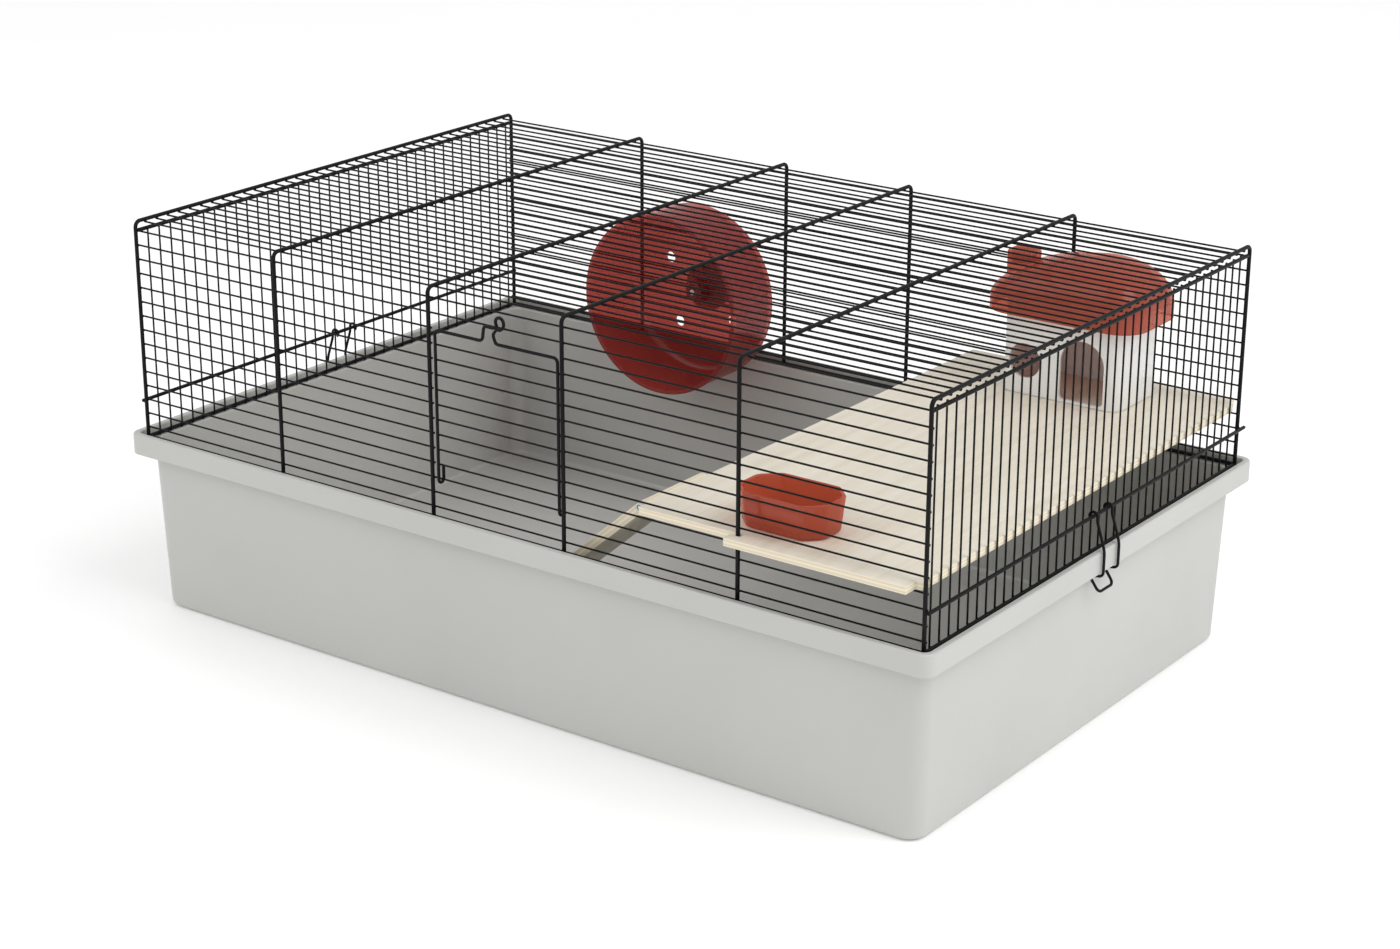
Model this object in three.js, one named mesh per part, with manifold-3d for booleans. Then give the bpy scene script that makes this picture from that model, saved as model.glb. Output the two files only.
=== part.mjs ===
// Hamster cage: a plastic tray, a welded wire top with a drop-down door, two wire clips,
// a running wheel, a plywood shelf with a ramp, a small house and a food bowl.
// Millimetres, +Z up, +X along the length (right end), -Y is the front with the door.
// The origin is under the middle of the tray, on the surface that the cage stands on.
import * as THREE from "three";
import { mergeVertices } from "three/addons/utils/BufferGeometryUtils.js";
import Module from "manifold-3d";

const wasm = await Module();
wasm.setup();

// ---- driving dimensions ---------------------------------------------------
const WIRE_LENGTH = 600; // outside of the end hoops
const WIRE_DEPTH = 380; // outside of the hoops, front to back
const WIRE_HEIGHT = 143.3; // top of the hoops above the tray rim
const RIM_Z = 122; // top of the tray rim above the ground
const RIM_HALF = [308, 198]; // half length and half depth of the rim
const RIM_RADIUS = 8; // corner of the rim seen from above
const BODY_RADIUS = 12; // corner of the walls seen from above
const SKIRT_DROP = 14; // height of the rim's outer skirt
const LEDGE_DROP = 5; // the wire top stands this far below the rim's top
const FRAME = 2.6; // thick wire
const BAR = 1.4; // thin wire
const WELD = 0.15; // how far a weld sinks one wire into the other
const SLIP = 0.05; // hair gap where a thin wire only passes an inner hoop
const HOOP_X = [-298.7, -177.6, -52.1, 49.3, 174.6, 298.7];
const BEND = 4; // bend radius of a hoop at the top edges
const ROW_FIRST = 2.8; // first thin front wire above the rim
const ROW_PITCH = 9.49;
const ROWS = 14; // the fifteenth runs in the bend of the hoops, on the top panel
const BAR_PITCH = 10; // upright bars of the ends and long wires of the top
const PIVOT_Z = 21; // clip pivot bars above the rim
const PIVOT_X = 301.25;
const PIVOT_SIDE = 2.4;
const HINGE_ROW = 3; // the door hooks round this front wire
const DOOR_TOP_ROW = 13;
const DOOR_SIDES = [-46.8, 46.5];
const DOOR_BEND = 3;
const DOOR_WIRE = 2;
const CLIP_WIRE = 1.8;
const CLIP_LEGS = [-5, 13];
const SHELF = { left: 103, right: 295.8, half: 187, bottom: 32.3, thick: 5 };
const TONGUE_OUT = 197.5;
const RAMP = { angle: 41, thick: 6, front: -178, width: 60, pinX: 99.2, pinZ: 34.4 };
const WHEEL = { x: -114, z: 44, radius: 63.4, front: 123, back: 176, wall: 2 };
const HOUSE = { x: [160, 246], y: [124, 179], wall: 2, top: 100 };
const ROOF = { mid: [202.5, 151], half: [55.5, 34.5], eave: 91, skirt: 8, rise: 30, wall: 2 };
const BOWL = { mid: [191, -159.5], half: [31, 20.5], height: 22, wall: 2 };

// ---- solids ---------------------------------------------------------------
function toSolid(geometry) {
  const bare = (geometry.index ? geometry.toNonIndexed() : geometry).clone();
  const only = new THREE.BufferGeometry();
  only.setAttribute("position", bare.getAttribute("position"));
  const merged = mergeVertices(only, 1e-4);
  return new wasm.Manifold(
    new wasm.Mesh({
      numProp: 3,
      vertProperties: new Float32Array(merged.attributes.position.array),
      triVerts: new Uint32Array(merged.index.array),
    }),
  );
}

function toGeometry(solid) {
  const mesh = solid.getMesh();
  const geometry = new THREE.BufferGeometry();
  geometry.setAttribute("position", new THREE.BufferAttribute(mesh.vertProperties, 3));
  geometry.setIndex(new THREE.BufferAttribute(mesh.triVerts, 1));
  return geometry;
}

function fuse(geometries) {
  let solids = geometries.map(toSolid);
  while (solids.length > 1) {
    const next = [];
    for (let i = 0; i < solids.length; i += 2)
      next.push(i + 1 < solids.length ? solids[i].add(solids[i + 1]) : solids[i]);
    solids = next;
  }
  return toGeometry(solids[0]);
}

function cut(geometry, tools) {
  let solid = toSolid(geometry);
  for (const tool of tools) solid = solid.subtract(toSolid(tool));
  return toGeometry(solid);
}

// A box between two opposite corners.
function box(x0, x1, y0, y1, z0, z1) {
  const g = new THREE.BoxGeometry(Math.abs(x1 - x0), Math.abs(y1 - y0), Math.abs(z1 - z0));
  g.translate((x0 + x1) / 2, (y0 + y1) / 2, (z0 + z1) / 2);
  return g;
}

// A closed skin over a list of equal-length rings; the first and last rings are capped.
function loft(rings) {
  const count = rings[0].length;
  const points = [];
  const faces = [];
  for (const ring of rings) for (const p of ring) points.push(p[0], p[1], p[2]);
  for (let r = 0; r + 1 < rings.length; r++)
    for (let i = 0; i < count; i++) {
      const a = r * count + i;
      const b = r * count + ((i + 1) % count);
      faces.push(a, b, b + count, a, b + count, a + count);
    }
  const last = (rings.length - 1) * count;
  for (let i = 1; i + 1 < count; i++) {
    faces.push(0, i + 1, i);
    faces.push(last, last + i, last + i + 1);
  }
  const g = new THREE.BufferGeometry();
  g.setAttribute("position", new THREE.Float32BufferAttribute(points, 3));
  g.setIndex(faces);
  return g;
}

// A rounded rectangle, counter-clockwise seen from above, at height z.
function ring(halfX, halfY, radius, z, midX = 0, midY = 0, steps = 5) {
  const out = [];
  const corners = [[1, 1, 0], [-1, 1, 90], [-1, -1, 180], [1, -1, 270]];
  for (const [sx, sy, start] of corners)
    for (let k = 0; k <= steps; k++) {
      const a = ((start + (90 * k) / steps) * Math.PI) / 180;
      out.push([
        midX + sx * (halfX - radius) + radius * Math.cos(a),
        midY + sy * (halfY - radius) + radius * Math.sin(a),
        z,
      ]);
    }
  return out;
}

// A wire of square section swept along points, its corners mitred.
// `side` is the fixed direction that one pair of faces looks along.
function bentWire(points, size, side) {
  const n = points.length;
  const path = points.map((p) => new THREE.Vector3(...p));
  const fixed = new THREE.Vector3(...side).normalize();
  const rings = [];
  for (let i = 0; i < n; i++) {
    const before = i > 0 ? path[i].clone().sub(path[i - 1]).normalize() : null;
    const after = i + 1 < n ? path[i + 1].clone().sub(path[i]).normalize() : null;
    const along = (before || after).clone().add(after || before).normalize();
    const u = fixed.clone().addScaledVector(along, -fixed.dot(along)).normalize();
    const v = along.clone().cross(u);
    let stretch = 1;
    if (before && after) stretch = 1 / Math.max(0.5, along.dot(after));
    const h = size / 2;
    rings.push(
      [[1, 1], [-1, 1], [-1, -1], [1, -1]].map(([a, b]) => {
        const q = path[i].clone().addScaledVector(u, a * h).addScaledVector(v, b * h * stretch);
        return [q.x, q.y, q.z];
      }),
    );
  }
  return loft(rings);
}

// Points on an arc in the plane of two axes; angles in degrees.
function arc(center, radius, from, to, steps, axes, rest) {
  const out = [];
  for (let k = 0; k <= steps; k++) {
    const a = ((from + ((to - from) * k) / steps) * Math.PI) / 180;
    const p = [...rest];
    p[axes[0]] = center[0] + radius * Math.cos(a);
    p[axes[1]] = center[1] + radius * Math.sin(a);
    out.push(p);
  }
  return out;
}

const group = new THREE.Group();
function piece(name, geometry, colour) {
  const mesh = new THREE.Mesh(geometry, new THREE.MeshStandardMaterial({ color: colour }));
  mesh.name = name;
  group.add(mesh);
}
const WIRE_BLACK = 0x1c1c1e;
const TRAY_GREY = 0xc9cbc8;
const RED = 0xa33227;
const PLY = 0xe4d9c0;
const WHITE = 0xf1f1ee;
const STEEL = 0xb9bcc0;

// ---- tray -----------------------------------------------------------------
function trayRing(inset, z, radius) {
  return ring(RIM_HALF[0] - inset, RIM_HALF[1] - inset, radius, z);
}
piece(
  "tray_base",
  loft([
    trayRing(15.4, 0, BODY_RADIUS - 3),
    trayRing(13, 0.9, BODY_RADIUS - 1),
    trayRing(12.1, 3.4, BODY_RADIUS),
    trayRing(8.8, RIM_Z - 9.5, BODY_RADIUS),
    trayRing(2.7, RIM_Z - 8.8, RIM_RADIUS - 2.7),
    trayRing(2.4, RIM_Z - SKIRT_DROP, RIM_RADIUS - 2.4),
    trayRing(0, RIM_Z - SKIRT_DROP, RIM_RADIUS),
    trayRing(0, RIM_Z - 1.6, RIM_RADIUS),
    trayRing(1.4, RIM_Z, RIM_RADIUS - 1.4),
    trayRing(4.2, RIM_Z, 4.4),
    trayRing(5, RIM_Z - 1, 3.6),
    trayRing(5, RIM_Z - LEDGE_DROP, 3.6),
    trayRing(11.3, RIM_Z - LEDGE_DROP, BODY_RADIUS - 2),
    trayRing(14.3, 10, BODY_RADIUS - 2),
    trayRing(14.7, 5.4, BODY_RADIUS - 2.5),
    trayRing(15.8, 3, BODY_RADIUS - 3.4),
  ]),
  TRAY_GREY,
);

// ---- wire top -------------------------------------------------------------
const FOOT_Z = RIM_Z - LEDGE_DROP + 0.4; // underside of the bottom wires
const HOOP_Y = WIRE_DEPTH / 2 - FRAME / 2; // middle of a hoop's upright
const HOOP_Z = RIM_Z + WIRE_HEIGHT - FRAME / 2; // middle of a hoop's top run
const BEND_Z = HOOP_Z - BEND;
const SPLIT_Z = HOOP_Z - 9.4; // the front and back panels end here
const rowZ = (row) => RIM_Z + ROW_FIRST + ROW_PITCH * (row - 1);
const isEnd = (x) => Math.abs(x) > 290;
// An inner hoop is a hair thinner on its inner side, so thin wires pass without touching.
const innerFace = (x) => (isEnd(x) ? FRAME / 2 : FRAME / 2 - WELD - SLIP);
const BAR_OFF = FRAME / 2 + BAR / 2 - WELD; // middle of a thin wire behind a thick one

function upright(x, back, top) {
  const s = back ? 1 : -1;
  return box(
    x - FRAME / 2,
    x + FRAME / 2,
    s * (HOOP_Y + FRAME / 2),
    s * (HOOP_Y - innerFace(x)),
    FOOT_Z,
    top,
  );
}
function longWire(x0, x1, y, z) {
  return box(x0, x1, y - BAR / 2, y + BAR / 2, z - BAR / 2, z + BAR / 2);
}

const REACH = WIRE_LENGTH / 2 - 0.3;
function sidePanel(back) {
  const s = back ? 1 : -1;
  const y = s * (HOOP_Y - BAR_OFF);
  const bits = HOOP_X.map((x) => upright(x, back, SPLIT_Z));
  bits.push(
    box(
      -HOOP_X[5] - FRAME / 2, HOOP_X[5] + FRAME / 2,
      s * (HOOP_Y - FRAME / 2 + 0.02), s * (HOOP_Y + FRAME / 2 - 0.02),
      FOOT_Z, FOOT_Z + FRAME,
    ),
  );
  for (let row = 1; row <= ROWS; row++) {
    const z = rowZ(row);
    const cutOpen = !back && row > HINGE_ROW && row <= DOOR_TOP_ROW;
    if (!cutOpen) {
      bits.push(longWire(-REACH, REACH, y, z));
    } else {
      bits.push(longWire(-REACH, HOOP_X[2] + FRAME / 2 - 0.1, y, z));
      bits.push(longWire(HOOP_X[3] - FRAME / 2 + 0.1, REACH, y, z));
    }
  }
  return fuse(bits);
}
piece("front_grille", sidePanel(false), WIRE_BLACK);
piece("back_grille", sidePanel(true), WIRE_BLACK);

// Top panel: the hoops' top runs with their bends, and the long wires under them.
const LAST_BAR = 180;
function topHoop(x) {
  const low = innerFace(x);
  const size = FRAME / 2 + low;
  const shift = (FRAME / 2 - low) / 2; // keeps the outer face in line
  const y = HOOP_Y + shift;
  const z = HOOP_Z + shift;
  const r = BEND + shift;
  const startZ = SPLIT_Z + SLIP;
  const points = [
    [x, -y, startZ],
    ...arc([-HOOP_Y + BEND, BEND_Z], r, 180, 90, 4, [1, 2], [x, 0, 0]),
    ...arc([HOOP_Y - BEND, BEND_Z], r, 90, 0, 4, [1, 2], [x, 0, 0]),
    [x, y, startZ],
  ];
  const g = bentWire(points, size, [1, 0, 0]);
  if (size < FRAME) {
    // full width across the length, thinner only on the inner side
    g.translate(-x, 0, 0);
    g.scale(FRAME / size, 1, 1);
    g.translate(x, 0, 0);
  }
  return g;
}
const topBits = HOOP_X.map(topHoop);
const topWireZ = HOOP_Z - BAR_OFF;
for (let y = -LAST_BAR; y <= LAST_BAR; y += BAR_PITCH)
  topBits.push(longWire(-REACH, REACH, y, topWireZ));
for (const side of [-1, 1])
  topBits.push(longWire(-REACH, REACH, side * (HOOP_Y - BAR_OFF), rowZ(ROWS + 1)));
for (const x of HOOP_X.slice(1, 5))
  for (const y of [-LAST_BAR, LAST_BAR])
    topBits.push(box(x - 0.7, x + 0.7, y - 0.5, y + 0.5, topWireZ, topWireZ + BAR));
piece("top_grille", fuse(topBits), WIRE_BLACK);

// End panels: a rail below the hoop, a bottom rail in the tray's ledge, upright bars.
function endPanel(s) {
  const bits = [];
  const railX0 = s * (HOOP_X[5] - FRAME / 2);
  const railX1 = s * (HOOP_X[5] + FRAME / 2);
  bits.push(box(railX0, railX1, -185.4, 185.4, RIM_Z + 134.7, RIM_Z + 134.7 + FRAME));
  bits.push(box(railX0, railX1, -187, 187, FOOT_Z, FOOT_Z + FRAME));
  const x = s * (HOOP_X[5] - BAR_OFF);
  for (let y = -LAST_BAR; y <= LAST_BAR; y += BAR_PITCH)
    bits.push(
      box(x - BAR / 2, x + BAR / 2, y - BAR / 2, y + BAR / 2, FOOT_Z + 0.3, RIM_Z + 137),
    );
  return fuse(bits);
}
piece("left_end_grille", endPanel(-1), WIRE_BLACK);
piece("right_end_grille", endPanel(1), WIRE_BLACK);

// Pivot bars: thick wires outside the end hoops that carry the clips.
for (const [name, s] of [["left_pivot_bar", -1], ["right_pivot_bar", 1]])
  piece(
    name,
    box(
      s * PIVOT_X - PIVOT_SIDE / 2, s * PIVOT_X + PIVOT_SIDE / 2,
      -189.9, 194,
      RIM_Z + PIVOT_Z - PIVOT_SIDE / 2, RIM_Z + PIVOT_Z + PIVOT_SIDE / 2,
    ),
    WIRE_BLACK,
  );

// ---- door -----------------------------------------------------------------
const hingeY = -(HOOP_Y - BAR_OFF);
const hingeZ = rowZ(HINGE_ROW);
const doorY = hingeY - 2.3; // plane of the door's frame wire
const doorTopZ = rowZ(DOOR_TOP_ROW);
function doorLeg(x) {
  return bentWire(
    [
      [x, doorY, doorTopZ - 8],
      [x, doorY, hingeZ - 0.6],
      ...arc([hingeY, hingeZ], 2.3, 200, 340, 4, [1, 2], [x, 0, 0]),
      [x, hingeY + 2.3, hingeZ + 0.6],
      [x, hingeY + 2.3, hingeZ + 8.4],
    ],
    DOOR_WIRE,
    [1, 0, 0],
  );
}
const [doorLeft, doorRight] = DOOR_SIDES;
const humpZ = doorTopZ + ROW_PITCH;
const ringMid = [4.6, RIM_Z + 130.2];
const doorTopPath = [
  [doorLeft, doorY, doorTopZ - 8.2],
  ...arc([doorLeft + DOOR_BEND, doorTopZ - DOOR_BEND], DOOR_BEND, 180, 90, 3, [0, 2], [0, doorY, 0]),
  ...arc([-12, doorTopZ + 2.5], 2.5, 270, 340, 2, [0, 2], [0, doorY, 0]),
  [-8.9, doorY, humpZ - 2],
  [-7, doorY, humpZ],
  [-2.6, doorY - 0.3, humpZ],
];
const ringPath = arc(ringMid, 3.6, 215, -110, 9, [0, 2], [0, doorY - 1.2, 0]).map(
  (p, i) => [p[0], doorY - 0.5 - 0.24 * i, p[2]],
);
const doorTopEnd = [
  [0.2, doorY - 2.3, humpZ - 3.4],
  [0.4, doorY - 0.4, doorTopZ + 2.6],
  [2.6, doorY, doorTopZ],
  ...arc([doorRight - DOOR_BEND, doorTopZ - DOOR_BEND], DOOR_BEND, 90, 0, 3, [0, 2], [0, doorY, 0]),
  [doorRight, doorY, doorTopZ - 8.2],
];
const doorBits = [
  doorLeg(doorLeft),
  doorLeg(doorRight),
  bentWire([...doorTopPath, ...ringPath, ...doorTopEnd], DOOR_WIRE, [0, 1, 0]),
];
for (let row = HINGE_ROW + 1; row < DOOR_TOP_ROW; row++)
  doorBits.push(
    longWire(doorLeft - 0.4, doorRight + 0.4, doorY + DOOR_WIRE / 2 + BAR / 2 - WELD, rowZ(row)),
  );
piece("front_door", fuse(doorBits), WIRE_BLACK);

// ---- clips ----------------------------------------------------------------
// One bent wire: two eyes round the pivot bar, two legs over the rim with hooks under its
// skirt, and a finger loop that joins them.
function clip(s) {
  const px = PIVOT_X;
  const pz = RIM_Z + PIVOT_Z;
  const half = (y) => [
    ...arc([px, pz], 2.75, 235, 10, 7, [0, 2], [0, y, 0]),
    [px + 3.4, y, pz - 3.5],
    [308.9, y, RIM_Z + 3],
    [309.6, y, RIM_Z - 0.5],
    [309.6, y, RIM_Z - 13.4],
    [308.6, y, RIM_Z - 15.7],
    [303, y, RIM_Z - 16.2],
    [301.4, y, RIM_Z - 17.2],
    [301.7, y, RIM_Z - 19],
    [303.2, y, RIM_Z - 20.6],
  ];
  const low = half(CLIP_LEGS[0]);
  const high = half(CLIP_LEGS[1]).reverse();
  const path = [
    ...low,
    [306, CLIP_LEGS[0] + 0.6, RIM_Z - 24.4],
    [307.2, CLIP_LEGS[0] + 3.5, RIM_Z - 26.2],
    [307.2, CLIP_LEGS[1] - 3.5, RIM_Z - 26.2],
    [306, CLIP_LEGS[1] - 0.6, RIM_Z - 24.4],
    ...high,
  ];
  const g = roundWire(path.map(([x, y, z]) => [s * x, y, z]), CLIP_WIRE / 2, 5);
  return g;
}

// A wire of round section (a regular polygon) carried along points without twist.
function roundWire(points, radius, sides) {
  const path = points.map((p) => new THREE.Vector3(...p));
  const n = path.length;
  const rings = [];
  let normal = null;
  for (let i = 0; i < n; i++) {
    const before = i > 0 ? path[i].clone().sub(path[i - 1]).normalize() : null;
    const after = i + 1 < n ? path[i + 1].clone().sub(path[i]).normalize() : null;
    const along = (before || after).clone().add(after || before).normalize();
    if (!normal) {
      const guess = Math.abs(along.y) < 0.9 ? new THREE.Vector3(0, 1, 0) : new THREE.Vector3(1, 0, 0);
      normal = guess;
    }
    normal = normal.clone().addScaledVector(along, -normal.dot(along)).normalize();
    const other = along.clone().cross(normal);
    const out = [];
    for (let k = 0; k < sides; k++) {
      const a = (2 * Math.PI * (k + 0.5)) / sides;
      const q = path[i]
        .clone()
        .addScaledVector(normal, radius * Math.cos(a))
        .addScaledVector(other, radius * Math.sin(a));
      out.push([q.x, q.y, q.z]);
    }
    rings.push(out);
  }
  return loft(rings);
}
piece("clip_left", clip(-1), WIRE_BLACK);
piece("clip_right", clip(1), WIRE_BLACK);

// ---- shelf and ramp -------------------------------------------------------
const shelfZ0 = RIM_Z + SHELF.bottom;
const shelfZ1 = shelfZ0 + SHELF.thick;
// Each tongue passes between two uprights and hooks past the left one of them.
function tongue(s) {
  const left = HOOP_X[4];
  return [
    box(left + 2.6, 291.5, s * (SHELF.half - 4), s * TONGUE_OUT, shelfZ0, shelfZ1),
    box(left - 4.4, left + 3.4, s * (HOOP_Y + FRAME / 2 + 0.7), s * TONGUE_OUT, shelfZ0, shelfZ1),
  ];
}
piece(
  "shelf_board",
  fuse([
    box(SHELF.left, SHELF.right, -SHELF.half, SHELF.half, shelfZ0, shelfZ1),
    ...tongue(-1),
    ...tongue(1),
  ]),
  PLY,
);

const pin = [RAMP.pinX, RIM_Z + RAMP.pinZ];
const slope = (RAMP.angle * Math.PI) / 180;
const floorZ = 3.3;
const drop = pin[1] - floorZ - (RAMP.thick / 2) * Math.cos(slope);
const reach = drop / Math.sin(slope);
// The plank's side outline: s runs down the slope from the pin, t is across its thickness.
function rampPoint(s, t) {
  return new THREE.Vector2(
    pin[0] - s * Math.cos(slope) - t * Math.sin(slope),
    pin[1] - s * Math.sin(slope) + t * Math.cos(slope),
  );
}
function extrudeY(shape, y0, y1, segments = 8) {
  const g = new THREE.ExtrudeGeometry(shape, {
    depth: y1 - y0,
    bevelEnabled: false,
    curveSegments: segments,
  });
  g.rotateX(Math.PI / 2); // shape y becomes z, depth runs to -y
  g.translate(0, y1, 0);
  return g;
}
const half = RAMP.thick / 2;
const plank = new THREE.Shape([
  rampPoint(-2.2, -half + 1.2),
  rampPoint(-1, -half),
  rampPoint(reach + half / Math.tan(slope) - 2 * half / Math.tan(slope), -half),
  rampPoint(reach + half / Math.tan(slope), half),
  rampPoint(-1, half),
  rampPoint(-2.2, half - 1.2),
].reverse());
function hole(radius, sides = 10) {
  const points = [];
  for (let k = 0; k < sides; k++) {
    const a = (2 * Math.PI * k) / sides;
    points.push(new THREE.Vector2(pin[0] + radius * Math.cos(a), pin[1] + radius * Math.sin(a)));
  }
  return new THREE.Path(points);
}
plank.holes.push(hole(1.55));
const rampBack = RAMP.front + RAMP.width;
piece("ramp_board", extrudeY(plank, RAMP.front, rampBack), PLY);

function rod(radius, sides, x, z, y0, y1) {
  const g = new THREE.CylinderGeometry(radius, radius, y1 - y0, sides);
  g.translate(x, (y0 + y1) / 2, z);
  return g;
}
piece("ramp_pin", rodAt(1.2, RAMP.front - 3.5, rampBack + 3.5), STEEL);
function rodAt(radius, y0, y1) {
  const g = new THREE.CylinderGeometry(radius, radius, y1 - y0, 10);
  g.translate(pin[0], (y0 + y1) / 2, pin[1]);
  return g;
}
function eye(y0, y1) {
  const outline = [];
  for (let k = 0; k <= 12; k++) {
    const a = ((0 + (270 * k) / 12) * Math.PI) / 180;
    outline.push(new THREE.Vector2(pin[0] + 3.4 * Math.cos(a), pin[1] + 3.4 * Math.sin(a)));
  }
  const under = shelfZ0 - 0.15;
  outline.pop();
  outline.push(new THREE.Vector2(pin[0], pin[1] - 3.4));
  outline.push(new THREE.Vector2(pin[0] + 1, under - 1.6));
  outline.push(new THREE.Vector2(SHELF.left + 13, under - 1.6));
  outline.push(new THREE.Vector2(SHELF.left + 13, under));
  outline.push(new THREE.Vector2(pin[0] + 3.4, under));
  const shape = new THREE.Shape(outline);
  shape.holes.push(hole(1.45));
  return extrudeY(shape, y0, y1);
}
piece("ramp_eye_front", eye(RAMP.front - 3.4, RAMP.front - 0.5), STEEL);
piece("ramp_eye_rear", eye(rampBack + 0.5, rampBack + 3.4), STEEL);

// ---- wheel ----------------------------------------------------------------
const wheelZ = RIM_Z + WHEEL.z;
// A turned piece: profile of [radius, distance along Y], closed on the axle line.
function turned(profile, sides, x = WHEEL.x, z = wheelZ) {
  const g = new THREE.LatheGeometry(profile.map(([r, y]) => new THREE.Vector2(r, y)), sides);
  const bare = new THREE.BufferGeometry();
  bare.setAttribute("position", g.getAttribute("position"));
  bare.setIndex(g.getIndex());
  let out = mergeVertices(bare, 1e-4);
  const solid = toSolid(out.toNonIndexed());
  out.translate(x, 0, z);
  return solid.volume() < 0 ? null : out;
}
const R = WHEEL.radius;
const w = WHEEL.wall;
const boreR = 2.7;
const wheelProfile = [
  [boreR, WHEEL.back],
  [R - 6, WHEEL.back],
  [R - 1.6, WHEEL.back - 1.4],
  [R, WHEEL.back - 6],
  [R, WHEEL.front + 1.6],
  [R + 1, WHEEL.front + 1.4],
  [R + 1, WHEEL.front],
  [R - w, WHEEL.front],
  [R - w, WHEEL.back - 7],
  [R - w - 1.6, WHEEL.back - w - 1.6],
  [R - 8, WHEEL.back - w],
  [8, WHEEL.back - w],
  [8, WHEEL.back - 9],
  [boreR, WHEEL.back - 9],
  [boreR, WHEEL.back],
];
const wheelBody = turned([...wheelProfile].reverse(), 40) || turned(wheelProfile, 40);
const wheelHoles = [55, 145, 235, 325].map((deg) => {
  const a = (deg * Math.PI) / 180;
  return rod(4, 10, WHEEL.x + 33 * Math.cos(a), wheelZ + 33 * Math.sin(a), WHEEL.back - 6, WHEEL.back + 4);
});
piece("wheel_drum", cut(wheelBody, wheelHoles), RED);
piece("wheel_axle", rod(2.2, 14, WHEEL.x, wheelZ, WHEEL.back - 13.5, 193.2), STEEL);
function plateY(outerR, sides, y0, y1, bore) {
  return cut(rod(outerR, sides, WHEEL.x, wheelZ, y0, y1), [
    rod(bore, sides, WHEEL.x, wheelZ, y0 - 1, y1 + 1),
  ]);
}
piece("wheel_cap", plateY(7, 16, WHEEL.back - 13, WHEEL.back - 9.5, 2.5), RED);
piece("wheel_bracket", plateY(17, 20, WHEEL.back + 0.6, 185.8, 2.5), RED);
piece("wheel_keeper", plateY(15, 20, 190.4, 192.8, 2.5), RED);

// ---- house ----------------------------------------------------------------
const shelfTop = shelfZ1 + 0.2;
const houseTop = RIM_Z + HOUSE.top;
const [hx0, hx1] = HOUSE.x;
const [hy0, hy1] = HOUSE.y;
function houseRing(inset, z) {
  return ring(
    (hx1 - hx0) / 2 - inset, (hy1 - hy0) / 2 - inset, 8 - inset, z,
    (hx0 + hx1) / 2, (hy0 + hy1) / 2, 3,
  );
}
const shell = cut(loft([houseRing(0, shelfTop), houseRing(0, houseTop)]), [
  loft([houseRing(HOUSE.wall, shelfTop - 1), houseRing(HOUSE.wall, houseTop + 1)]),
]);
const doorway = new THREE.Shape();
const [doorwayMid, doorwayHalf, sill] = [219.4, 15.8, shelfTop + 2];
doorway.moveTo(doorwayMid - doorwayHalf + 3, sill);
doorway.lineTo(doorwayMid + doorwayHalf - 3, sill);
doorway.lineTo(doorwayMid + doorwayHalf - 0.9, sill + 0.9);
doorway.lineTo(doorwayMid + doorwayHalf, sill + 3);
doorway.lineTo(doorwayMid + doorwayHalf, RIM_Z + 64.5);
doorway.absarc(doorwayMid, RIM_Z + 64.5, doorwayHalf, 0, Math.PI, false);
doorway.lineTo(doorwayMid - doorwayHalf, sill + 3);
doorway.lineTo(doorwayMid - doorwayHalf + 0.9, sill + 0.9);
doorway.closePath();
const windowShape = new THREE.Shape();
windowShape.absarc(178, RIM_Z + 60, 11.5, 0, Math.PI * 2, false);
piece(
  "house_walls",
  cut(shell, [
    extrudeY(doorway, hy0 - 3, hy0 + 6, 6),
    extrudeY(windowShape, hy0 - 3, hy0 + 6, 8),
  ]),
  WHITE,
);

const [rx, ry] = ROOF.mid;
function roofRing(inset, z, shrink = 1) {
  const hx = (ROOF.half[0] - inset) * shrink;
  const hy = (ROOF.half[1] - inset) * shrink;
  const radius = Math.min(hx, hy) * (0.55 + 0.35 * (1 - shrink));
  return ring(hx, hy, radius, z, rx, ry, 4);
}
const domeSteps = 5;
const eaveZ = RIM_Z + ROOF.eave;
const skirtZ = eaveZ + ROOF.skirt;
// The dome is lower towards its left end, where the chimney stands.
function dome(inset, top, rise) {
  const rings = [];
  for (let k = 0; k <= domeSteps; k++) {
    const a = ((8 + (78 * k) / domeSteps) * Math.PI) / 180;
    const flat = roofRing(inset, top + rise * Math.sin(a), Math.pow(Math.cos(a), 0.62));
    rings.push(
      flat.map(([x, y, z]) => {
        const low = 1 - 0.4 * Math.max(0, (205 - x) / 58);
        return [x, y, z > skirtZ ? skirtZ + (z - skirtZ) * low : z];
      }),
    );
  }
  return rings;
}
const roofShell = loft([
  ...dome(ROOF.wall, skirtZ - 3, ROOF.rise).reverse(),
  roofRing(ROOF.wall, eaveZ),
  roofRing(0, eaveZ),
  roofRing(0, skirtZ),
  ...dome(0, skirtZ, ROOF.rise),
]);
const chimney = box(154.5, 173.5, 136, 150, RIM_Z + 104, RIM_Z + 127.5);
const chimneyFlue = box(157, 171, 138.5, 147.5, RIM_Z + 117, RIM_Z + 130);
// Two ribs inside the roof rest on the top edges of the front and back walls.
const ribs = [187, 217].map((x) =>
  box(x, x + 2, ry - ROOF.half[1] + 1, ry + ROOF.half[1] - 1, houseTop + 0.3, houseTop + 5),
);
piece("house_roof", cut(fuse([roofShell, chimney, ...ribs]), [chimneyFlue]), RED);

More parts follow.
